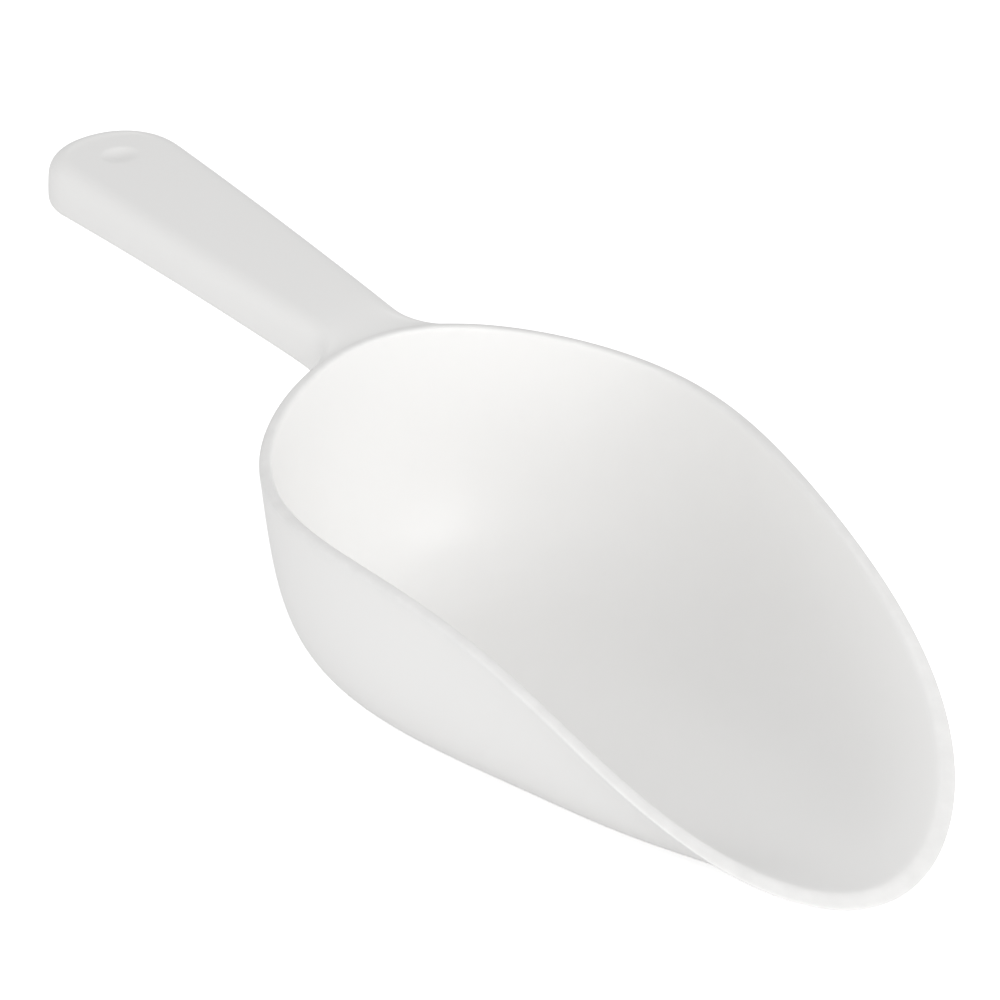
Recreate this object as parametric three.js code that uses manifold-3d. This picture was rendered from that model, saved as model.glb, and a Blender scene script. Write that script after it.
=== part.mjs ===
// A one-hand ice scoop moulded in white plastic. The bowl is deep and thin-walled, with a high back, sides
// that dip in an S towards a low open nose, and a flat oval underside. The handle leaves the back level with
// the rim: a flat-topped grip with soft edges and deep skirts, hollow and open below.
// Units are millimetres. +X runs from the handle to the nose and +Z is up. The origin lies on the plane of
// the underside, below the middle of the whole scoop.
import * as THREE from "three";
import { mergeVertices } from "three/addons/utils/BufferGeometryUtils.js";
import Module from "manifold-3d";

// Bowl. Its own X starts at the back of the rim.
const BOWL_LENGTH = 168;
const BOWL_WALL = 2.7;
// Bézier heights over the bowl's length, from the back to the nose, of two curves: how far the rim's breadth
// swells past that of a plain ellipse of half breadth 1, and how high the rim stands above the underside.
const RIM_SWELL = [64, 67.5, 42, 34.5, 49.5, 50];
const RIM_HEIGHT = [59.5, 42.5, 50.5, 48, 28, 2.2];
const FLAT_BACK = 29; // the flat oval underside, from its back to its front
const FLAT_FRONT = 103;
const FLAT_HALF_WIDTH = 17.5;
// The wall at the bowl's back, side and nose: the share of the way up that it runs out level from the flat,
// the share that it runs straight down from the rim, and its steepness there (0 along the chord, 1 upright).
const FOOT_REACH = { back: 0.58, side: 0.56, nose: 0.4 };
const RIM_REACH = { back: 0.44, side: 0.4, nose: 0.39 };
const STEEPNESS = { back: 0.98, side: 0.77, nose: 0.03 };
const LIP_BEVEL = 0.038; // the share of the wall that the bevel of the nose's lip takes off its inner face

// Handle. It runs back from the bowl and rises a little. The three lists are Bézier values over its length,
// from the bowl to the far end: the height of its top line, its half width, and how deep its skirts hang.
const HANDLE_LENGTH = 117;
const TOP_HEIGHT = [60, 64.3, 68];
const HALF_WIDTH = [10.5, 14.5, 16];
const SKIRT_DEPTH = [9, 6.8, 10.5];
const END_REACH = 16; // how much of its length the round end takes
const END_SQUARENESS = 2.1; // 2 is a round end, and more is squarer
const END_LIFT = 1.2; // how far the lower edge rises round the end
const SKIRT_SPREAD = 0.8; // how far the lower edge stands out past the top edge along the sides
const EDGE_RADIUS = 4.3; // between the top and the skirts
const NECK_FILLET = 12; // in plan, between the skirts and the bowl's back
const HANDLE_WALL = 2.6;
const DIMPLE_RADIUS = 4.6;
const DIMPLE_DEPTH = 0.9;
const DIMPLE_SETBACK = 16; // from the handle's far end

const JOINT_GAP = 0.3; // between the bowl's back and the handle
const CLEARANCE_RISE = 20; // how far above the rim the handle keeps clear of the bowl
const AROUND = 72; // steps round the bowl
const UP = 12; // steps up its wall
const EDGE_STEPS = 4; // steps round the handle's top edge
const SIDE_STEPS = 10; // steps along the handle's straight sides
const END_STEPS = 10; // steps round half of its end
const FILLET_STEPS = 5;

const wasm = await Module();
wasm.setup();

// The height at u, from 0 to 1, of the Bézier curve whose control points have the given heights.
function bezier(heights, u) {
  let level = heights;
  while (level.length > 1) {
    level = level.slice(1).map((h, i) => THREE.MathUtils.lerp(level[i], h, u));
  }
  return level[0];
}

// The rim's outer edge at an angle, which is 0 at the nose and pi at the back.
function rimPoint(angle) {
  const share = (1 + Math.cos(angle)) / 2;
  const y = Math.sin(angle) * bezier(RIM_SWELL, share);
  return new THREE.Vector3(BOWL_LENGTH * share, y, bezier(RIM_HEIGHT, share));
}

// The direction of a curve at a parameter, by a small step to both sides.
function direction(curve, at, step = 1e-4) {
  return curve(at + step).sub(curve(at - step)).normalize();
}

// The outward level normal of the rim.
function rimNormal(angle) {
  const along = direction(rimPoint, angle);
  return new THREE.Vector3(along.y, -along.x, 0).normalize();
}

// The wall's outer face: one cubic curve from the flat underside (v = 0) to the rim (v = 1) at each angle.
function wallPoint(angle, v) {
  const cos = Math.cos(angle);
  const middle = (FLAT_BACK + FLAT_FRONT) / 2;
  const foot = new THREE.Vector3(
    middle + ((FLAT_FRONT - FLAT_BACK) / 2) * cos,
    FLAT_HALF_WIDTH * Math.sin(angle),
    0,
  );
  const rim = rimPoint(angle);
  const chord = rim.clone().sub(foot);
  const level = new THREE.Vector3(chord.x, chord.y, 0).normalize();
  const slope = Math.asin(chord.z / chord.length());
  const regional = ({ back, side, nose }) => THREE.MathUtils.lerp(side, cos > 0 ? nose : back, cos * cos);
  const pitch = THREE.MathUtils.lerp(slope, Math.PI / 2, regional(STEEPNESS));
  const rise = rimNormal(angle).multiplyScalar(Math.cos(pitch)).setZ(Math.sin(pitch));
  const low = foot.clone().addScaledVector(level, regional(FOOT_REACH) * chord.length());
  const high = rim.clone().addScaledVector(rise, -regional(RIM_REACH) * chord.length());
  return new THREE.CubicBezierCurve3(foot, low, high, rim).getPoint(v);
}

// The outward normal of the wall's outer face.
function wallNormal(angle, v) {
  const up = direction((t) => wallPoint(angle, THREE.MathUtils.clamp(t, 0, 1)), v);
  const along = direction((t) => wallPoint(t, v), angle);
  return along.cross(up).normalize();
}

// A ring of points round the bowl at v, pushed out by a distance and lifted. The share of v that is taken off
// round the nose is the bevel.
function bowlRing(v, push = 0, lift = 0, bevel = 0) {
  return Array.from({ length: AROUND }, (_, i) => {
    const angle = (2 * Math.PI * i) / AROUND;
    const at = v * (1 - bevel * THREE.MathUtils.smoothstep(Math.cos(angle), 0, 1));
    const point = wallPoint(angle, at).addScaledVector(wallNormal(angle, at), push);
    return point.setZ(point.z + lift);
  });
}

// A closed geometry from rows of points, given as triangles of Vector3.
function geometryOf(triangles) {
  return new THREE.BufferGeometry().setFromPoints(triangles.flat());
}

// A closed skin over rings of equal length, with a pole at each end.
function skinOverRings(rings) {
  const triangles = [];
  const centre = (ring) =>
    ring.reduce((sum, p) => sum.add(p), new THREE.Vector3()).divideScalar(ring.length);
  const first = centre(rings[0]);
  const last = centre(rings.at(-1));
  for (let i = 0; i < AROUND; i++) {
    const next = (i + 1) % AROUND;
    triangles.push([first, rings[0][next], rings[0][i]]);
    triangles.push([last, rings.at(-1)[i], rings.at(-1)[next]]);
    for (let r = 1; r < rings.length; r++) {
      triangles.push([rings[r - 1][i], rings[r - 1][next], rings[r][next]]);
      triangles.push([rings[r - 1][i], rings[r][next], rings[r][i]]);
    }
  }
  return geometryOf(triangles);
}

const upSteps = Array.from({ length: UP + 1 }, (_, i) => i / UP);

// The bowl's shell: up its outer face, over the rim and down its inner face.
function bowlShell() {
  const outer = upSteps.map((v) => bowlRing(v));
  const inner = upSteps.map((v) => bowlRing(v, -BOWL_WALL, 0, LIP_BEVEL)).reverse();
  return skinOverRings([...outer, ...inner]);
}

// The space that the handle keeps clear of: the bowl, a gap wider all round and carried on above the rim.
function bowlClearance() {
  const rings = upSteps.map((v) => bowlRing(v, JOINT_GAP));
  rings.push(bowlRing(1, JOINT_GAP, CLEARANCE_RISE));
  return skinOverRings(rings);
}

// Half of the handle's plan outline, from inside the bowl to the far tip: x (negative along it), half width.
function handleOutline() {
  // The fillet's centre, from circles that touch outside each other: the rim's back and the fillet.
  const backRadius = (2 * RIM_SWELL[0] ** 2) / BOWL_LENGTH;
  const across = HALF_WIDTH[0] + NECK_FILLET;
  const centreX = backRadius - Math.sqrt((backRadius + NECK_FILLET) ** 2 - across ** 2);
  const share = backRadius / (backRadius + NECK_FILLET);
  const touchX = backRadius + (centreX - backRadius) * share;
  const outline = [];
  for (let i = 0; i <= FILLET_STEPS; i++) {
    const x = THREE.MathUtils.lerp(touchX, centreX, i / FILLET_STEPS);
    const inset = NECK_FILLET - Math.sqrt(NECK_FILLET ** 2 - (x - centreX) ** 2);
    outline.push(new THREE.Vector2(x, halfWidth(centreX) + inset));
  }
  outline.unshift(new THREE.Vector2(touchX + BOWL_WALL, outline[0].y + BOWL_WALL));
  const endX = END_REACH - HANDLE_LENGTH;
  for (let i = 1; i <= SIDE_STEPS; i++) {
    const x = THREE.MathUtils.lerp(centreX, endX, i / SIDE_STEPS);
    outline.push(new THREE.Vector2(x, halfWidth(x)));
  }
  for (let i = 1; i <= END_STEPS; i++) {
    const angle = ((Math.PI / 2) * i) / END_STEPS;
    const x = endX - END_REACH * Math.sin(angle) ** (2 / END_SQUARENESS);
    const round = Math.max(Math.cos(angle), 0) ** (2 / END_SQUARENESS);
    outline.push(new THREE.Vector2(x, halfWidth(x) * round));
  }
  outline.at(-1).y = 0;
  return outline;
}

// How far x is along the handle, and how far into its round end, from 0 to 1.
function handleShare(x) {
  return THREE.MathUtils.clamp(-x / HANDLE_LENGTH, 0, 1);
}

function endShare(x) {
  return THREE.MathUtils.clamp((END_REACH - HANDLE_LENGTH - x) / END_REACH, 0, 1);
}

function topHeight(x) {
  return bezier(TOP_HEIGHT, handleShare(x));
}

function halfWidth(x) {
  return bezier(HALF_WIDTH, handleShare(x));
}

function skirtDepth(x) {
  return bezier(SKIRT_DEPTH, handleShare(x)) - END_LIFT * endShare(x);
}

// One loop round the handle, open at the bowl: the outline moved inwards, with inset and height given by x.
function handleLoop(insetAt, heightAt) {
  const side = handleOutline();
  const whole = [...side, ...side.slice(0, -1).reverse().map((p) => new THREE.Vector2(p.x, -p.y))];
  return whole.map((p, i) => {
    const along = whole[Math.min(i + 1, whole.length - 1)].clone().sub(whole[Math.max(i - 1, 0)]);
    const inset = insetAt(p.x);
    const inward = new THREE.Vector2(along.y, -along.x).normalize().multiplyScalar(-inset);
    const mirrored = i === side.length - 1 ? new THREE.Vector2(inset, 0) : inward;
    return new THREE.Vector3(p.x + mirrored.x, p.y + mirrored.y, heightAt(p.x));
  });
}

// A closed skin over such loops from the lowest up: the sides, the bottom, the top and the near end.
function skinOverLoops(loops) {
  const count = loops[0].length;
  const triangles = [];
  const quad = (a, b, c, d) => triangles.push([a, b, c], [a, c, d]);
  for (let k = 1; k < loops.length; k++) {
    const [below, above] = [loops[k - 1], loops[k]];
    for (let j = 1; j < count; j++) quad(below[j - 1], below[j], above[j], above[j - 1]);
    quad(below[count - 1], below[0], above[0], above[count - 1]);
  }
  for (let j = 1; j <= (count - 1) / 2; j++) {
    const [bottom, top] = [loops[0], loops.at(-1)];
    const [p, q] = [count - j, count - 1 - j];
    quad(bottom[j - 1], bottom[p], bottom[q], bottom[j]);
    quad(top[j - 1], top[j], top[q], top[p]);
  }
  return geometryOf(triangles);
}

// The handle's form: skirts, rounded edge and flat top, moved inwards by an inset and carried down by extra.
function handleForm(inset, extra) {
  const radius = EDGE_RADIUS - inset;
  const foot = (x) => inset - SKIRT_SPREAD * (1 - endShare(x));
  const loops = [handleLoop(foot, (x) => topHeight(x) - skirtDepth(x) - extra)];
  for (let i = 0; i <= EDGE_STEPS; i++) {
    const angle = ((Math.PI / 2) * i) / EDGE_STEPS;
    const drop = EDGE_RADIUS - radius * Math.sin(angle);
    const edge = EDGE_RADIUS - radius * Math.cos(angle);
    loops.push(handleLoop(() => edge, (x) => topHeight(x) - drop));
  }
  return skinOverLoops(loops);
}

// A shallow round dish in the handle's top near its far end.
function dimple() {
  const radius = (DIMPLE_RADIUS ** 2 + DIMPLE_DEPTH ** 2) / (2 * DIMPLE_DEPTH);
  const x = DIMPLE_SETBACK - HANDLE_LENGTH;
  const ball = new THREE.SphereGeometry(radius, 96, 64);
  return ball.translate(x, 0, topHeight(x) + radius - DIMPLE_DEPTH);
}

// Solids for cutting, and back to geometry.
function solidOf(geometry) {
  const bare = geometry.clone();
  bare.deleteAttribute("normal");
  bare.deleteAttribute("uv");
  const merged = mergeVertices(bare, 1e-4);
  return new wasm.Manifold(
    new wasm.Mesh({
      numProp: 3,
      vertProperties: merged.attributes.position.array,
      triVerts: new Uint32Array(merged.index.array),
    }),
  );
}

function geometryFrom(solid) {
  const mesh = solid.getMesh();
  const geometry = new THREE.BufferGeometry();
  geometry.setAttribute("position", new THREE.BufferAttribute(mesh.vertProperties, 3));
  geometry.setIndex(new THREE.BufferAttribute(mesh.triVerts, 1));
  geometry.computeVertexNormals();
  return geometry;
}

// The handle: its form, hollowed from below, dished on top and cut to the bowl's back.
function handleChannel() {
  const solid = solidOf(handleForm(0, 0))
    .subtract(solidOf(handleForm(HANDLE_WALL, HANDLE_WALL)))
    .subtract(solidOf(bowlClearance()))
    .subtract(solidOf(dimple()));
  return geometryFrom(solid);
}

const whitePlastic = () =>
  new THREE.MeshStandardMaterial({ color: 0xf2f1ef, roughness: 0.42, metalness: 0 });

function named(name, geometry) {
  const mesh = new THREE.Mesh(geometry, whitePlastic());
  mesh.name = name;
  return mesh;
}

const scoop = new THREE.Group();
scoop.add(named("bowl", bowlShell()));
scoop.add(named("handle", handleChannel()));
scoop.position.x = (HANDLE_LENGTH - BOWL_LENGTH) / 2;

const part = new THREE.Group();
part.add(scoop);

export default part;
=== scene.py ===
"""A one-hand ice scoop, moulded in one shot of white plastic.

The skin of the whole moulding is one cage of four-sided faces: a bowl grid and a handle grid that share
the points where they meet. It is subdivided as a whole, so that the grip flows into the rim, and then parted
into the bowl and the handle along the bowl's outer face. Lengths are in metres. +X runs to the nose and +Z
is up.
"""

import math

import bmesh
import bpy
import numpy as np
from mathutils import Matrix, Vector


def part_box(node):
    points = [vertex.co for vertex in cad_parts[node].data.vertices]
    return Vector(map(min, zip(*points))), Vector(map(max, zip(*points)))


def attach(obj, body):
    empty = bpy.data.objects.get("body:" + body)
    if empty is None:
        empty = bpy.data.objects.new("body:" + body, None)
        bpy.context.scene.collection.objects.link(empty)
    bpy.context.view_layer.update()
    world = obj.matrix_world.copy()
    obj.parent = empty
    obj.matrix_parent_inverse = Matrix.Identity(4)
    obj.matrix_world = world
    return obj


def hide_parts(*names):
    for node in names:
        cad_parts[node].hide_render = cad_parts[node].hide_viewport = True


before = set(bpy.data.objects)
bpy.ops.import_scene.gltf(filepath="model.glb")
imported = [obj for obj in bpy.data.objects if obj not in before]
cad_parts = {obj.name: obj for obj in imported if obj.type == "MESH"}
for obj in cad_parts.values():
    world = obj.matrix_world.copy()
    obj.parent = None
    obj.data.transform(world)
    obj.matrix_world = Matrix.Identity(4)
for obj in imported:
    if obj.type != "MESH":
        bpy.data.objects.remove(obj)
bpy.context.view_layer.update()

MM = 0.001

# Bowl. Its own x starts at the back of the rim. Lists are the control values of a line from back to nose.
BOWL_LENGTH = 168 * MM
BOWL_WALL = 2.7 * MM
RIM_SWELL = [w * MM for w in (64, 67.5, 42, 34.5, 49.5, 50)]  # half widths, before the oval closes
RIM_HEIGHT = [h * MM for h in (59.5, 42.5, 50.5, 48, 28, 2.2)]
FLAT_BACK = 29 * MM
FLAT_FRONT = 103 * MM
FLAT_HALF_WIDTH = 17.5 * MM
FOOT_REACH = {"back": 0.58, "side": 0.56, "nose": 0.4}  # how far the wall keeps level as it leaves the flat
RIM_REACH = {"back": 0.44, "side": 0.4, "nose": 0.39}  # and how far it keeps its pitch below the rim
STEEPNESS = {"back": 0.98, "side": 0.77, "nose": 0.03}  # 1 makes the wall upright at the rim
LIP_BEVEL = 0.038  # how far short of the rim the inner face stops at the nose
RIM_OUTER_RADIUS = 0.8 * MM
RIM_INNER_RADIUS = 0.8 * MM

# Handle. Its x is negative behind the bowl, and its lists run from the bowl to the far end.
HANDLE_LENGTH = 117 * MM
TOP_HEIGHT = [h * MM for h in (60, 64.3, 68)]
HALF_WIDTH = [w * MM for w in (10.5, 14.5, 16)]
SKIRT_DEPTH = [d * MM for d in (9, 6.8, 10.5)]
END_REACH = 16 * MM
END_SQUARENESS = 2.1  # 2 is an ellipse
END_LIFT = 1.2 * MM  # of the lower edge at the far end
SKIRT_SPREAD = 0.8 * MM  # of the skirts towards their lower edges
EDGE_RADIUS = 4.3 * MM
NECK_FILLET = 12 * MM
HANDLE_WALL = 2.6 * MM
FOOT_RADIUS = 0.7 * MM  # on the lower edges of the skirts
DIMPLE_RADIUS = 4.4 * MM
DIMPLE_DEPTH = 0.9 * MM
DIMPLE_SETBACK = 16 * MM
DIMPLE_SLANT = 0.95  # how much deeper it is towards the far end
DIMPLE_SOFTNESS = 1.2  # 1 gives it a crisp edge

# Cage. Columns run up the bowl's wall and are counted from the middle of its back.
NECK_COLUMNS = 7  # of them stand between the middle of the back and the end of the neck's fillet
HOLLOW_COLUMNS = 3  # and these between the middle and the inner face of a skirt
FREE_COLUMNS = 44  # from the fillet round to the nose, on each side
ROUNDING_ROWS = 2  # from the wall's outer face over the rim's rounding to its flat
SKIRT_ROWS = 5  # from the rim's flat down to the lower edge of the skirts
PLATE_ROWS = 3  # and down to the underside of the handle's top
UPPER_STEPS = [2.6 * MM, 5.3 * MM, 9.6 * MM, 11 * MM]  # down the wall from the rim
LOWER_STEPS = 9  # from there to the flat
FLAT_RINGS = [0.68, 0.36]  # in the flat underside, as shares of its outline
CORNER_CUT = 0.3  # how far a crisp corner's middle point stands back, as a share of its radius
RIM_STEP = 1e-4  # to each side of an angle, to give the rim's direction
WALL_STEP = 1e-3  # to each side of a share or an angle, to give the wall's
SAMPLES = {"wall": 81, "end": 400}  # along a line before it is divided evenly
FILLET_STATIONS = 6
SIDE_STATIONS = 22
SIDE_CROWDING = 0.4  # how much closer the stations stand towards the round end
CORNER_STATIONS = 5
NECK_BLEND = 17 * MM  # along a skirt's edge, from the rim's crisp edge to the grip's soft one
SUBDIVISIONS = 2

# Wear by row of the cage, from 0 to 1. Over the rim it also darkens the band as painted shade.
RIM_RUBBING_AND_SHADE = [0.4, 0.9, 1.0, 1.0, 1.0, 0.6, 0.0]  # over the rim, from outside to inside
SKIRT_WEAR = [0, 0, 0, 0, 0.2, 0.7, 1, 1, 1, 0.7, 0, 0]  # from the top round a lower edge to the hollow

# Plastic.
PALE = (0.86, 0.855, 0.845)
PALER = (0.88, 0.876, 0.868)
# The rubbed colour. On the bowl's rim it is also painted shade that darkens the band.
RUBBED_AND_SHADED = (0.76, 0.756, 0.748)
PLASTIC_IOR = 1.49
GRAIN_DEPTH = 0.02 * MM
GRAIN_STRENGTH = 0.35
SCUFF_ROUGHNESS = 0.12

# Camera and light. Azimuth 0 stands on the -Y side and 90 on the +X side, in degrees.
CAMERA_AZIMUTH = 57.4
CAMERA_ELEVATION = 25.5
CAMERA_ROLL = -3.0
CAMERA_DISTANCE = 1.0477
CAMERA_LENS = 192.7
CAMERA_TARGET = (0.0245, -0.0043, 0.0418)
SKY = 0.68
FLOOR_GLOW_SEEN = 0.6
FLOOR_HEIGHT = -0.1 * MM
FLOOR_REACH = 6.0
SOFTBOX_DISTANCE = 1.6
SOFTBOX_SIZE = 1.2
SIDE_POWER = 6.3
FRONT_POWER = 12

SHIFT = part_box("handle")[0].x + HANDLE_LENGTH  # from the bowl's own x to the frame's


def lerp(a, b, t):
    return a + (b - a) * t


def bezier(heights, u):
    """The height at u of the Bezier curve whose control points have these heights."""
    level = list(heights)
    while len(level) > 1:
        level = [lerp(a, b, u) for a, b in zip(level, level[1:])]
    return level[0]


def regional(values, cos):
    """A value for the back, side or nose, as it blends round the bowl."""
    return lerp(values["side"], values["nose" if cos > 0 else "back"], cos * cos)


def clamp(t):
    return min(max(t, 0), 1)


def smooth(t):
    t = clamp(t)
    return t * t * (3 - 2 * t)


def lengths_along(points):
    """The length of a line of points up to each of them."""
    return np.r_[0, np.cumsum(np.linalg.norm(np.diff(points, axis=0), axis=1))]


# ---- The bowl's wall. Angle 0 is the nose and pi the back.


def rim_point(angle):
    share = (1 + math.cos(angle)) / 2
    y = math.sin(angle) * bezier(RIM_SWELL, share)
    return Vector((BOWL_LENGTH * share, y, bezier(RIM_HEIGHT, share)))


def wall_point(angle, v):
    """A point of the outer face, from the flat underside (v = 0) to the rim (v = 1)."""
    cos, sin = math.cos(angle), math.sin(angle)
    middle, reach = (FLAT_BACK + FLAT_FRONT) / 2, (FLAT_FRONT - FLAT_BACK) / 2
    foot = Vector((middle + reach * cos, FLAT_HALF_WIDTH * sin, 0))
    rim = rim_point(angle)
    chord = rim - foot
    level = Vector((chord.x, chord.y, 0)).normalized()
    slope = math.asin(chord.z / chord.length)
    pitch = lerp(slope, math.pi / 2, regional(STEEPNESS, cos))
    along = (rim_point(angle + RIM_STEP) - rim_point(angle - RIM_STEP)).normalized()
    rise = Vector((along.y, -along.x, 0)).normalized() * math.cos(pitch)
    rise.z = math.sin(pitch)
    low = foot + level * (regional(FOOT_REACH, cos) * chord.length)
    high = rim - rise * (regional(RIM_REACH, cos) * chord.length)
    w = 1 - v
    return foot * w**3 + low * (3 * w * w * v) + high * (3 * w * v * v) + rim * v**3


def wall_frame(angle, v):
    """The wall's outward normal and its upward direction."""
    up = (wall_point(angle, min(v + WALL_STEP, 1)) - wall_point(angle, max(v - WALL_STEP, 0))).normalized()
    along = wall_point(angle + WALL_STEP, v) - wall_point(angle - WALL_STEP, v)
    normal = along.cross(up).normalized()
    return normal, up


def inner_point(angle, v):
    """The point of the inner face that lies behind v, and its upward direction."""
    v *= 1 - LIP_BEVEL * smooth(math.cos(angle))
    normal, up = wall_frame(angle, v)
    return wall_point(angle, v) - normal * BOWL_WALL, up


def column_angles():
    """Angles of the columns on one side, from the middle of the back to the nose."""
    touch = math.asin(neck_fillet()[1].y / RIM_SWELL[0])
    inner = math.asin((HALF_WIDTH[0] - HANDLE_WALL) / RIM_SWELL[0])
    backs = [inner * k / HOLLOW_COLUMNS for k in range(HOLLOW_COLUMNS)]
    ears = NECK_COLUMNS - HOLLOW_COLUMNS
    backs += [lerp(inner, touch, k / ears) for k in range(ears)]
    backs += [lerp(touch, math.pi, k / FREE_COLUMNS) for k in range(FREE_COLUMNS + 1)]
    return [math.pi - a for a in backs]


def wall_shares(angle):
    """The v of each row of the cage below the rim's rounding, from the top down to the flat."""
    shares = np.linspace(0, 1, SAMPLES["wall"])
    lengths = lengths_along(np.array([wall_point(angle, v) for v in shares]))
    rows = [lengths[-1] - d for d in UPPER_STEPS]
    last = rows[-1]
    rows += [last * (1 - k / LOWER_STEPS) for k in range(1, LOWER_STEPS + 1)]
    return list(np.interp(rows, lengths, shares))


def rounded_corner(point, before, after, radius):
    """Three points that round off a corner, from the face that leads to it to the face that leaves it."""
    first, last = point + before * radius, point + after * radius
    return [first, lerp((first + last) / 2, point, math.sqrt(2) - 1), last]


def rim_rows(angle):
    """The rim's rounding, as points from its outer side over the top to its inner side."""
    up = wall_frame(angle, 1)[1]
    outer = wall_point(angle, 1)
    inner, inner_up = inner_point(angle, 1)
    across = (inner - outer).normalized()
    first = rounded_corner(outer, -up, across, RIM_OUTER_RADIUS)
    last = rounded_corner(inner, -across, -inner_up, RIM_INNER_RADIUS)
    return [*first, (first[-1] + last[0]) / 2, *last]


# ---- The handle's plan and section.


def neck_fillet():
    """The centre in plan of the fillet from a skirt to the bowl's back, and where it touches the bowl."""
    back_radius = 2 * RIM_SWELL[0] ** 2 / BOWL_LENGTH
    across = HALF_WIDTH[0] + NECK_FILLET
    x = back_radius - math.sqrt((back_radius + NECK_FILLET) ** 2 - across**2)
    share = back_radius / (back_radius + NECK_FILLET)
    centre = Vector((x, half_width(x) + NECK_FILLET))
    touch = Vector((back_radius + (x - back_radius) * share, centre.y * share))
    return centre, touch


def end_share(x):
    """How far x is into the handle's round end, from 0 to 1."""
    return clamp((END_REACH - HANDLE_LENGTH - x) / END_REACH)


def half_width(x):
    return bezier(HALF_WIDTH, clamp(-x / HANDLE_LENGTH))


def top_height(x):
    return bezier(TOP_HEIGHT, clamp(-x / HANDLE_LENGTH))


def skirt_depth(x):
    return bezier(SKIRT_DEPTH, clamp(-x / HANDLE_LENGTH)) - END_LIFT * end_share(x)


def end_point(angle):
    """A point of the round end at an angle that is 0 where a straight side ends and pi / 2 at the tip."""
    x = END_REACH - HANDLE_LENGTH - END_REACH * math.sin(angle) ** (2 / END_SQUARENESS)
    return Vector((x, half_width(x) * max(math.cos(angle), 0) ** (2 / END_SQUARENESS)))


def side_outline():
    """Points in plan along the outer edge of the skirt on one side, from the bowl's wall to the tip."""
    centre, touch = neck_fillet()
    start = touch - centre
    first = math.atan2(start.y, start.x)
    points = []
    for k in range(FILLET_STATIONS):
        angle = lerp(first, -math.pi / 2, k / FILLET_STATIONS)
        points.append(centre + Vector((math.cos(angle), math.sin(angle))) * NECK_FILLET)
    near, far = centre.x, END_REACH - HANDLE_LENGTH
    for k in range(SIDE_STATIONS):
        t = k / SIDE_STATIONS
        x = lerp(near, far, t * (1 + SIDE_CROWDING * (1 - t)))
        points.append(Vector((x, half_width(x))))
    return points + end_outline()


def end_outline():
    """Points round half of the end, spaced evenly up to the grid's corner and from there to the tip."""
    angles = np.linspace(0, math.pi / 2, SAMPLES["end"])
    lengths = lengths_along(np.array([end_point(a) for a in angles]))
    corner = np.interp(math.pi / 4, angles, lengths)
    stops = [corner * k / CORNER_STATIONS for k in range(CORNER_STATIONS)]
    stops += [lerp(corner, lengths[-1], k / NECK_COLUMNS) for k in range(NECK_COLUMNS + 1)]
    points = [end_point(a) for a in np.interp(stops, lengths, angles)]
    points[-1].y = 0
    return points


def outward_normals(outline):
    """Outward directions in plan at the points of the outline, whose last point is the tip."""
    normals = []
    for i in range(len(outline) - 1):
        along = outline[i + 1] - outline[max(i - 1, 0)]
        normal = Vector((-along.y, along.x)).normalized()
        normals.append(normal if normal.y >= 0 else -normal)
    return [*normals, Vector((-1, 0))]


# ---- The cage.


class Cage:
    """Vertices by name, and four-sided faces that each belong to the bowl or the handle."""

    def __init__(self):
        self.mesh = bmesh.new()
        self.edge = self.mesh.verts.layers.float.new("edge")
        self.named = {}

    def put(self, key, point, edge=0.0):
        vert = self.mesh.verts.new((point[0] + SHIFT, point[1], point[2]))
        vert[self.edge] = edge
        self.named[key] = vert

    def face(self, keys, piece):
        self.mesh.faces.new([self.named[k] for k in keys]).material_index = piece


BOWL, HANDLE = 0, 1  # the pieces that a face can belong to
NECK_ANGLES = column_angles()[: NECK_COLUMNS + 1]


def mirrored(point, side):
    return Vector((point[0], point[1] * side, point[2]))


def bowl_rings(angle):
    """The cage points of a column of the bowl: up its outer face, over the rim, and up its inner face."""
    foot = wall_point(angle, 0)
    middle = Vector(((FLAT_BACK + FLAT_FRONT) / 2, 0, 0))
    outer = [middle + (foot - middle) * share for share in reversed(FLAT_RINGS)]
    inner = [p + Vector((0, 0, BOWL_WALL)) for p in outer]
    for v in reversed(wall_shares(angle)):
        outer.append(wall_point(angle, v))
        inner.append(inner_point(angle, v)[0])
    return outer, rim_rows(angle), inner


def build_bowl(cage):
    """The bowl's grid, less the faces under the handle. Returns the row where the rim's flat starts."""
    angles = column_angles()
    last = len(angles) - 1
    for c, angle in enumerate(angles):
        outer, rim, inner = bowl_rings(angle)
        rows = [*outer, *rim, *reversed(inner)]
        # Wear by row, which over the rim also paints shade on the band.
        worn_and_shaded = [0.0] * len(outer) + RIM_RUBBING_AND_SHADE + [0.0] * len(inner)
        for side in (1, -1) if 0 < c < last else (1,):
            for r, point in enumerate(rows):
                cage.put(("bowl", c * side, r), mirrored(point, side), worn_and_shaded[r])
    count, flat_row = len(rows), len(outer) + ROUNDING_ROWS
    middle = (FLAT_BACK + FLAT_FRONT) / 2
    cage.put(("pole", 0), (middle, 0, 0))
    cage.put(("pole", 1), (middle, 0, BOWL_WALL))
    columns = list(range(-last + 1, last + 1))
    for a, b in zip(columns, columns[1:] + columns[:1]):
        cage.face([("pole", 0), ("bowl", a, 0), ("bowl", b, 0)], BOWL)
        cage.face([("pole", 1), ("bowl", b, count - 1), ("bowl", a, count - 1)], BOWL)
        for r in range(count - 1):
            if not under_handle(a, b, r - flat_row):
                cage.face([("bowl", a, r), ("bowl", a, r + 1), ("bowl", b, r + 1), ("bowl", b, r)], BOWL)
    return flat_row


def under_handle(a, b, row):
    """Whether the handle covers the face between columns a and b. Rows count from the rim's flat."""
    if max(abs(a), abs(b)) > NECK_COLUMNS or row >= 0:
        return False
    return row >= -PLATE_ROWS or (row >= -SKIRT_ROWS and min(abs(a), abs(b)) >= HOLLOW_COLUMNS)


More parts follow.
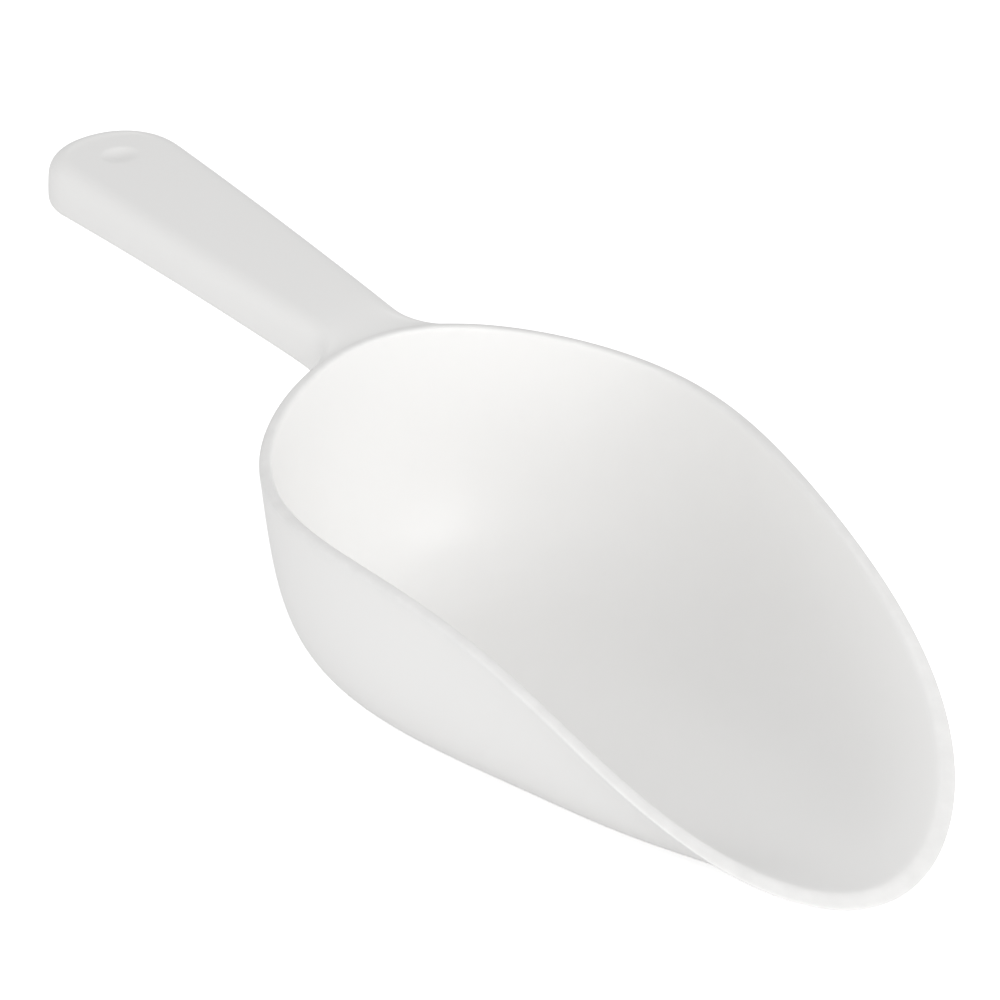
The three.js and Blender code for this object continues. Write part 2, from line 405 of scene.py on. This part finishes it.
def hollow_side(i, outline, normals):
    """A point in plan of the hollow's side at a station, and the direction outwards from it."""
    if i > FILLET_STATIONS:
        return outline[i] - normals[i] * HANDLE_WALL, normals[i]
    x = outline[FILLET_STATIONS].x * (i / FILLET_STATIONS)
    return Vector((x, half_width(x) - HANDLE_WALL)), Vector((0, 1))


def top_level(x, column, soft):
    """The height of the top. It leaves the rim level at that column, then eases into the handle's line."""
    return lerp(rim_point(NECK_ANGLES[column]).z, top_height(x), soft)


def rail_points(i, outline, normals, soft):
    """A rail round a skirt at a station: from the top down, round the lower edge and up the hollow.

    Soft is 0 at the bowl, where the top has the rim's crisp edge, and 1 on the grip, where it is round.
    """
    point, normal = outline[i], normals[i]
    inside, inside_normal = hollow_side(i, outline, normals)
    spread = SKIRT_SPREAD * soft * (1 - end_share(point.x))
    top = top_level(point.x, NECK_COLUMNS, soft)
    foot = top - skirt_depth(point.x)

    middle = CORNER_CUT * RIM_OUTER_RADIUS
    crisp = [(RIM_OUTER_RADIUS, 0), (middle, middle), (0, RIM_OUTER_RADIUS)]
    crisp += [(0, down) for down in UPPER_STEPS[:2]]
    rail = []
    for k, (inset, down) in enumerate(crisp):
        angle = math.pi / 2 * k / (len(crisp) - 1)
        inset = lerp(inset, EDGE_RADIUS * (1 - math.sin(angle)), soft)
        down = lerp(down, EDGE_RADIUS * (1 - math.cos(angle)), soft)
        rail.append((point - normal * inset, top - down))

    outer, inner = point + normal * spread, inside + inside_normal * spread
    middle = CORNER_CUT * FOOT_RADIUS
    across = (outer - inner).normalized() * middle
    rail += [(outer, foot + FOOT_RADIUS), (outer - across, foot + middle)]
    rail.append(((outer + inner) / 2, foot))
    rail += [(inner + across, foot + middle), (inner, foot + FOOT_RADIUS)]

    corner = (EDGE_RADIUS - HANDLE_WALL) * (1 - math.sqrt(0.5)) * soft
    rail.append((inside + inside_normal * spread / 2, top - UPPER_STEPS[1]))
    rail.append((inside - inside_normal * corner, top - HANDLE_WALL - corner))
    return [Vector((p.x, p.y, z)) for p, z in rail]


def coons(start, end, low, high, i, j, s):
    """A point in plan inside four edges that meet in the corners.

    It stands at index i of low and high and at index j of start and end, a share s of the way to the end.
    """
    t = j / (len(start) - 1)
    along = start[j] * (1 - s) + end[j] * s
    across = low[i] * (1 - t) + high[i] * t
    near = start[0] * (1 - t) + start[-1] * t
    far = end[0] * (1 - t) + end[-1] * t
    return along + across - near * (1 - s) - far * s


def build_handle(cage, flat_row):
    """The handle's skirts, top and hollow, on the vertices that the bowl's grid has round the joint."""
    outline = side_outline()
    normals = outward_normals(outline)
    arcs = lengths_along(np.array(outline))
    softness = [smooth(arc / NECK_BLEND) for arc in arcs]
    tip = len(outline) - 1
    plate_row, skirt_row = flat_row - PLATE_ROWS, flat_row - SKIRT_ROWS

    joint = [(NECK_COLUMNS, row) for row in range(flat_row, skirt_row - 1, -1)]
    joint += [(column, skirt_row) for column in range(NECK_COLUMNS - 1, HOLLOW_COLUMNS - 1, -1)]
    joint += [(HOLLOW_COLUMNS, row) for row in range(skirt_row + 1, plate_row + 1)]

    def key(i, k, sign):
        """The name of a rail's vertex. Rails start on the bowl, and the two sides share the tip's."""
        if i > 0:
            return ("rail", i, k, sign if i < tip else 1)
        column, row = joint[k]
        return ("bowl", column * sign, row)

    for i in range(1, tip + 1):
        for sign in (1, -1) if i < tip else (1,):
            for k, point in enumerate(rail_points(i, outline, normals, softness[i])):
                cage.put(key(i, k, sign), mirrored(point, sign), SKIRT_WEAR[k])
    for i in range(tip):
        for sign in (1, -1):
            for k in range(len(joint) - 1):
                corners = [(i, k), (i, k + 1), (i + 1, k + 1), (i + 1, k)]
                cage.face([key(*corner, sign) for corner in corners], HANDLE)

    def plan(name):
        return cage.named[name].co - Vector((SHIFT, 0, 0))

    def sheet(k, half, thickness, row):
        """The top or its underside: a grid between the two sides' rails, from the bowl to the round end."""
        end_at = tip - half

        def end_key(c):
            return key(end_at + half - abs(c), k, 1 if c > 0 else -1)

        def name(i, c):
            if i == 0:
                return ("bowl", c, row)
            if abs(c) == half:
                return key(i, k, 1 if c > 0 else -1)
            return end_key(c) if i == end_at else ("sheet", k, i, c)

        start = [plan(("bowl", c, row)) for c in range(-half, half + 1)]
        end = [plan(end_key(c)) for c in range(-half, half + 1)]
        low = [plan(key(i, k, -1)) for i in range(end_at + 1)]
        high = [plan(key(i, k, 1)) for i in range(end_at + 1)]
        for i in range(1, end_at):
            for c in range(-half + 1, half):
                p = coons(start, end, low, high, i, c + half, arcs[i] / arcs[end_at])
                z = top_level(p.x, abs(c), softness[i]) - thickness
                cage.put(name(i, c), (p.x, p.y, z))
        for i in range(end_at):
            for c in range(-half, half):
                cage.face([name(i, c), name(i + 1, c), name(i + 1, c + 1), name(i, c + 1)], HANDLE)

    sheet(0, NECK_COLUMNS, 0, flat_row)
    sheet(len(joint) - 1, HOLLOW_COLUMNS, HANDLE_WALL, plate_row)


def skin():
    """The whole moulding's skin, subdivided, as a mesh whose faces know their piece."""
    cage = Cage()
    flat_row = build_bowl(cage)
    build_handle(cage, flat_row)
    bmesh.ops.recalc_face_normals(cage.mesh, faces=cage.mesh.faces)
    open_edges = [e for e in cage.mesh.edges if not e.is_manifold]
    if open_edges:
        raise ValueError(f"the cage has {len(open_edges)} open edges")
    mesh = bpy.data.meshes.new("skin")
    cage.mesh.to_mesh(mesh)
    cage.mesh.free()
    for _ in (BOWL, HANDLE):
        mesh.materials.append(None)
    skin_object = bpy.data.objects.new("skin", mesh)
    bpy.context.scene.collection.objects.link(skin_object)
    modifier = skin_object.modifiers.new("round", "SUBSURF")
    modifier.levels = SUBDIVISIONS
    modifier.render_levels = SUBDIVISIONS
    graph = bpy.context.evaluated_depsgraph_get()
    smooth_mesh = bpy.data.meshes.new_from_object(skin_object.evaluated_get(graph))
    bpy.data.objects.remove(skin_object)
    return smooth_mesh


def press_dimple(mesh):
    """A shallow round dish in the handle's top near its far end."""
    centre = Vector((DIMPLE_SETBACK - HANDLE_LENGTH + SHIFT, 0))
    for vert in mesh.vertices:
        away = (Vector(vert.co[:2]) - centre) / DIMPLE_RADIUS
        top = top_height(vert.co.x - SHIFT)
        if away.length < 1 and vert.co.z > top - HANDLE_WALL / 2:
            slant = (1 - DIMPLE_SLANT * away.x) / (1 + DIMPLE_SLANT / 2)
            vert.co.z -= DIMPLE_DEPTH * slant * (1 - away.length_squared) ** DIMPLE_SOFTNESS


def boundary_loop(work, start):
    """The vertices round the open edge of a mesh, in order, from the one nearest to start towards +Y."""
    ring = {v for e in work.edges if e.is_boundary for v in e.verts}
    first = min(ring, key=lambda v: (v.co - start).length)
    steps = [e.other_vert(first) for e in first.link_edges if e.is_boundary]
    loop = [first, max(steps, key=lambda v: v.co.y)]
    while True:
        ways = [e.other_vert(loop[-1]) for e in loop[-1].link_edges if e.is_boundary]
        after = next(v for v in ways if v is not loop[-2])
        if after is first:
            return loop
        loop.append(after)


def close_joint(work):
    """Upright strips that close the joint, between the line along the rim and the section's lower edges."""
    corner = rim_rows(NECK_ANGLES[-1])[2]
    loop = boundary_loop(work, Vector((corner.x + SHIFT, -corner.y, corner.z)))
    fine = 2**SUBDIVISIONS
    ears = NECK_COLUMNS - HOLLOW_COLUMNS
    spans = [2 * NECK_COLUMNS, SKIRT_ROWS, ears, SKIRT_ROWS - PLATE_ROWS, 2 * HOLLOW_COLUMNS]
    spans += [SKIRT_ROWS - PLATE_ROWS, ears, SKIRT_ROWS]
    stops = np.cumsum([0, *spans]) * fine
    parts = [(loop + loop[:1])[a : b + 1] for a, b in zip(stops, stops[1:])]
    top, side, bottom, hollow, plate, far_hollow, far_bottom, far_side = parts
    flank = ears * fine
    made = []

    def strips(upper, lower, before=(), after=()):
        """Strips between two rows. The first and the last also take in the vertices down their sides."""
        for k in range(len(upper) - 1):
            down = after if k == len(upper) - 2 else ()
            up = before if k == 0 else ()
            made.append(work.faces.new([upper[k], upper[k + 1], *down, lower[k + 1], lower[k], *up]))

    strips(top[flank:-flank], plate[::-1])
    strips(top[-flank - 1 :], bottom[::-1], before=hollow[1:], after=side[1:-1])
    strips(top[: flank + 1], far_bottom[::-1], before=far_side[1:-1], after=far_hollow[:-1])
    return made


def part_off(mesh, piece, name):
    """The faces of one piece, closed where it meets the other, with the whole skin's normals."""
    work = bmesh.new()
    work.from_mesh(mesh)
    normals = work.verts.layers.float_vector.new("skin_normal")
    work.normal_update()
    for vert in work.verts:
        vert[normals] = vert.normal
    away = [f for f in work.faces if f.material_index != piece]
    bmesh.ops.delete(work, geom=away, context="FACES")
    caps = set(close_joint(work))
    bmesh.ops.recalc_face_normals(work, faces=work.faces)
    custom = []
    for face in work.faces:
        face.material_index = 0
        face.smooth = True
        for loop in face.loops:
            custom.append(tuple(face.normal if face in caps else loop.vert[normals]))
    work.verts.layers.float_vector.remove(normals)
    result = bpy.data.meshes.new(name)
    work.to_mesh(result)
    work.free()
    result.materials.clear()
    result.normals_split_custom_set(custom)
    made = bpy.data.objects.new(name, result)
    bpy.context.scene.collection.objects.link(made)
    return made


# The two pieces.
whole = skin()
press_dimple(whole)
scoop_bowl = part_off(whole, BOWL, "scoop_bowl")
scoop_handle = part_off(whole, HANDLE, "scoop_handle")
bpy.data.meshes.remove(whole)


# ---- Materials.


def new_group(name, inputs, outputs):
    """An empty shader node group with named number inputs and outputs."""
    group = bpy.data.node_groups.new(name, "ShaderNodeTree")
    for label, value in inputs.items():
        socket = group.interface.new_socket(label, in_out="INPUT", socket_type="NodeSocketFloat")
        socket.default_value = value
    for label, kind in outputs.items():
        group.interface.new_socket(label, in_out="OUTPUT", socket_type=kind)
    return group


def add(tree, kind, inputs=None, **settings):
    """A new node with its settings and the plain values of its inputs."""
    node = tree.nodes.new(kind)
    for label, value in settings.items():
        setattr(node, label, value)
    for label, value in (inputs or {}).items():
        node.inputs[label].default_value = value
    return node


def object_noise(tree, scale, detail=2.0):
    """A noise texture on Object coordinates, whose scale is a socket or a number."""
    place = add(tree, "ShaderNodeTexCoord")
    noise = add(tree, "ShaderNodeTexNoise", {"Detail": detail})
    if isinstance(scale, float):
        noise.inputs["Scale"].default_value = scale
    else:
        tree.links.new(scale, noise.inputs["Scale"])
    tree.links.new(place.outputs["Object"], noise.inputs["Vector"])
    return noise.outputs["Fac"]


def product(tree, a, b, **settings):
    """Two sockets multiplied."""
    node = add(tree, "ShaderNodeMath", operation="MULTIPLY", **settings)
    tree.links.new(a, node.inputs[0])
    tree.links.new(b, node.inputs[1])
    return node.outputs["Value"]


def mapped(tree, value, **ends):
    """A socket's value mapped from one range to another, whose ends are 0 and 1 where they aren't given."""
    node = add(tree, "ShaderNodeMapRange", {label.replace("_", " "): end for label, end in ends.items()})
    tree.links.new(value, node.inputs["Value"])
    return node.outputs["Result"]


def moulded_grain():
    """The mould's fine spark-eroded grain, with a much slower waviness from uneven shrinkage."""
    group = new_group(
        "moulded grain",
        {"Grain scale": 2600.0, "Wave scale": 38.0, "Wave share": 0.6},
        {"Height": "NodeSocketFloat"},
    )
    take = add(group, "NodeGroupInput")
    give = add(group, "NodeGroupOutput")
    fine = object_noise(group, take.outputs["Grain scale"])
    slow = object_noise(group, take.outputs["Wave scale"], detail=0.0)
    mix = add(group, "ShaderNodeMix", data_type="FLOAT")
    group.links.new(take.outputs["Wave share"], mix.inputs["Factor"])
    group.links.new(fine, mix.inputs["A"])
    group.links.new(slow, mix.inputs["B"])
    group.links.new(mix.outputs["Result"], give.inputs["Height"])
    return group


def handling_scuffs():
    """Sparse short hairlines from ice and other utensils, as a mask."""
    group = new_group(
        "handling scuffs", {"Scale": 60.0, "Stretch": 14.0, "Amount": 0.5}, {"Mask": "NodeSocketFloat"}
    )
    take = add(group, "NodeGroupInput")
    give = add(group, "NodeGroupOutput")
    place = add(group, "ShaderNodeTexCoord")
    stretch = add(group, "ShaderNodeCombineXYZ", {"X": 1.0})
    group.links.new(take.outputs["Stretch"], stretch.inputs["Y"])
    group.links.new(take.outputs["Stretch"], stretch.inputs["Z"])
    warp = add(group, "ShaderNodeVectorMath", operation="MULTIPLY")
    group.links.new(place.outputs["Object"], warp.inputs[0])
    group.links.new(stretch.outputs["Vector"], warp.inputs[1])
    lines = add(group, "ShaderNodeTexNoise", {"Detail": 3.0})
    group.links.new(take.outputs["Scale"], lines.inputs["Scale"])
    group.links.new(warp.outputs["Vector"], lines.inputs["Vector"])
    sharp = mapped(group, lines.outputs["Fac"], From_Min=0.6, From_Max=0.72)
    patches = mapped(group, object_noise(group, 24.0, detail=1.0), From_Min=0.45, From_Max=0.65)
    mask = product(group, product(group, sharp, patches), take.outputs["Amount"])
    group.links.new(mask, give.inputs["Mask"])
    return group


def edge_rubbing_and_shade():
    """Rubbed edges, and painted shade on the rim's band: the piece's own edge attribute, broken up by noise.
    """
    group = new_group("edge rubbing and shade", {"Amount": 0.5, "Break-up scale": 240.0}, {"Mask": "NodeSocketFloat"})
    take = add(group, "NodeGroupInput")
    give = add(group, "NodeGroupOutput")
    edge = add(group, "ShaderNodeAttribute", attribute_name="edge")
    noise = object_noise(group, take.outputs["Break-up scale"], detail=4.0)
    rough = product(group, edge.outputs["Fac"], noise)
    mask = product(group, rough, take.outputs["Amount"], use_clamp=True)
    group.links.new(mask, give.inputs["Mask"])
    return group


GRAIN = moulded_grain()
SCUFFS = handling_scuffs()
RUBBING_AND_SHADE = edge_rubbing_and_shade()


def mix_colour(tree, factor, a, b):
    """A colour mix whose ends are plain colours or sockets."""
    mix = add(tree, "ShaderNodeMix", data_type="RGBA")
    tree.links.new(factor, mix.inputs["Factor"])
    for label, value in (("A", a), ("B", b)):
        socket = next(s for s in mix.inputs if s.name == label and s.type == "RGBA")
        if isinstance(value, tuple):
            socket.default_value = (*value, 1)
        else:
            tree.links.new(value, socket)
    return next(s for s in mix.outputs if s.type == "RGBA")


def white_plastic(name, smoothest, roughest, scuff, rubbing_and_shade):
    """Moulded white polypropylene: satin, with a fine grain, faint signs of use and painted shade on the
    rim.
    """
    material = bpy.data.materials.new(name)
    material.use_nodes = True
    tree = material.node_tree
    shader = tree.nodes["Principled BSDF"]
    shader.inputs["IOR"].default_value = PLASTIC_IOR
    tone = object_noise(tree, 16.0)
    marks = add(tree, "ShaderNodeGroup", {"Amount": scuff}, node_tree=SCUFFS)
    rubbed_and_shaded = add(tree, "ShaderNodeGroup", {"Amount": rubbing_and_shade}, node_tree=RUBBING_AND_SHADE)
    # The rubbed colour over the edge mask: wear, and painted shade on the rim's band.
    colour = mix_colour(tree, rubbed_and_shaded.outputs["Mask"], mix_colour(tree, tone, PALE, PALER), RUBBED_AND_SHADED)
    tree.links.new(colour, shader.inputs["Base Color"])
    rough = add(tree, "ShaderNodeMath", operation="MULTIPLY_ADD")
    rough.inputs[1].default_value = SCUFF_ROUGHNESS
    tree.links.new(marks.outputs["Mask"], rough.inputs[0])
    tree.links.new(mapped(tree, tone, To_Min=smoothest, To_Max=roughest), rough.inputs[2])
    tree.links.new(rough.outputs["Value"], shader.inputs["Roughness"])
    grain = add(tree, "ShaderNodeGroup", node_tree=GRAIN)
    bump = add(tree, "ShaderNodeBump", {"Strength": GRAIN_STRENGTH, "Distance": GRAIN_DEPTH})
    tree.links.new(grain.outputs["Height"], bump.inputs["Height"])
    tree.links.new(bump.outputs["Normal"], shader.inputs["Normal"])
    return material


# The bowl's larger amount also darkens its rim band as painted shade.
bowl_plastic = white_plastic("bowl plastic", smoothest=0.38, roughest=0.46, scuff=0.5, rubbing_and_shade=1.1)
handle_plastic = white_plastic("handle plastic", smoothest=0.4, roughest=0.48, scuff=0.7, rubbing_and_shade=0.4)
scoop_bowl.data.materials.append(bowl_plastic)
scoop_handle.data.materials.append(handle_plastic)

finishes = ((scoop_bowl, "bowl", "bowl_plastic"), (scoop_handle, "handle", "handle_plastic"))
for piece, node, finish in finishes:
    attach(piece, "root")
    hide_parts(node)


# ---- Floor, light and camera.


def make_floor():
    """A pale floor that glows a little where it is seen, so that it runs into the surround."""
    material = bpy.data.materials.new("floor")
    material.use_nodes = True
    tree = material.node_tree
    shader = tree.nodes["Principled BSDF"]
    shader.inputs["Base Color"].default_value = (0.92, 0.92, 0.92, 1)
    shader.inputs["Roughness"].default_value = 0.9
    shader.inputs["Specular IOR Level"].default_value = 0.2
    shader.inputs["Emission Color"].default_value = (1, 1, 1, 1)
    path = add(tree, "ShaderNodeLightPath")
    glow = mapped(tree, path.outputs["Is Camera Ray"], To_Max=FLOOR_GLOW_SEEN)
    tree.links.new(glow, shader.inputs["Emission Strength"])
    mesh = bpy.data.meshes.new("floor")
    signs = ((-1, -1), (1, -1), (1, 1), (-1, 1))
    corners = [(x * FLOOR_REACH, y * FLOOR_REACH, FLOOR_HEIGHT) for x, y in signs]
    mesh.from_pydata(corners, [], [(0, 1, 2, 3)])
    mesh.materials.append(material)
    floor = bpy.data.objects.new("floor", mesh)
    bpy.context.scene.collection.objects.link(floor)


def make_sky():
    """An even pale surround, which the camera sees as white."""
    world = bpy.data.worlds.new("surround")
    world.use_nodes = True
    tree = world.node_tree
    sky = tree.nodes["Background"]
    sky.inputs["Color"].default_value = (1, 1, 1, 1)
    sky.inputs["Strength"].default_value = SKY
    seen = add(tree, "ShaderNodeBackground", {"Color": (1, 1, 1, 1)})
    path = add(tree, "ShaderNodeLightPath")
    mix = add(tree, "ShaderNodeMixShader")
    tree.links.new(path.outputs["Is Camera Ray"], mix.inputs["Fac"])
    tree.links.new(sky.outputs["Background"], mix.inputs[1])
    tree.links.new(seen.outputs["Background"], mix.inputs[2])
    tree.links.new(mix.outputs["Shader"], tree.nodes["World Output"].inputs["Surface"])
    bpy.context.scene.world = world


def direction(azimuth, elevation):
    """The direction from the scoop towards a camera or a light."""
    a, e = math.radians(azimuth), math.radians(elevation)
    return Vector((math.sin(a) * math.cos(e), -math.cos(a) * math.cos(e), math.sin(e)))


def make_softbox(name, azimuth, elevation, power):
    """A square light that faces the scoop."""
    back = direction(azimuth, elevation)
    light = bpy.data.lights.new(name, "AREA")
    light.shape = "SQUARE"
    light.size = SOFTBOX_SIZE
    light.energy = power
    lamp = bpy.data.objects.new(name, light)
    lamp.location = back * SOFTBOX_DISTANCE
    lamp.rotation_euler = back.to_track_quat("Z", "Y").to_euler()
    bpy.context.scene.collection.objects.link(lamp)


def make_camera():
    back = direction(CAMERA_AZIMUTH, CAMERA_ELEVATION)
    level = direction(CAMERA_AZIMUTH + 90, 0)
    roll = math.radians(CAMERA_ROLL)
    upright = back.cross(level)
    right = level * math.cos(roll) + upright * math.sin(roll)
    up = upright * math.cos(roll) - level * math.sin(roll)
    data = bpy.data.cameras.new("camera")
    data.lens = CAMERA_LENS
    camera = bpy.data.objects.new("camera", data)
    place = Matrix((right, up, back)).transposed().to_4x4()
    place.translation = Vector(CAMERA_TARGET) + back * CAMERA_DISTANCE
    camera.matrix_world = place
    bpy.context.scene.collection.objects.link(camera)
    bpy.context.scene.camera = camera


make_floor()
make_sky()
make_softbox("side light", azimuth=10, elevation=12, power=SIDE_POWER)
make_softbox("front light", azimuth=93, elevation=16, power=FRONT_POWER)
make_camera()
bpy.context.scene.view_settings.view_transform = "Standard"
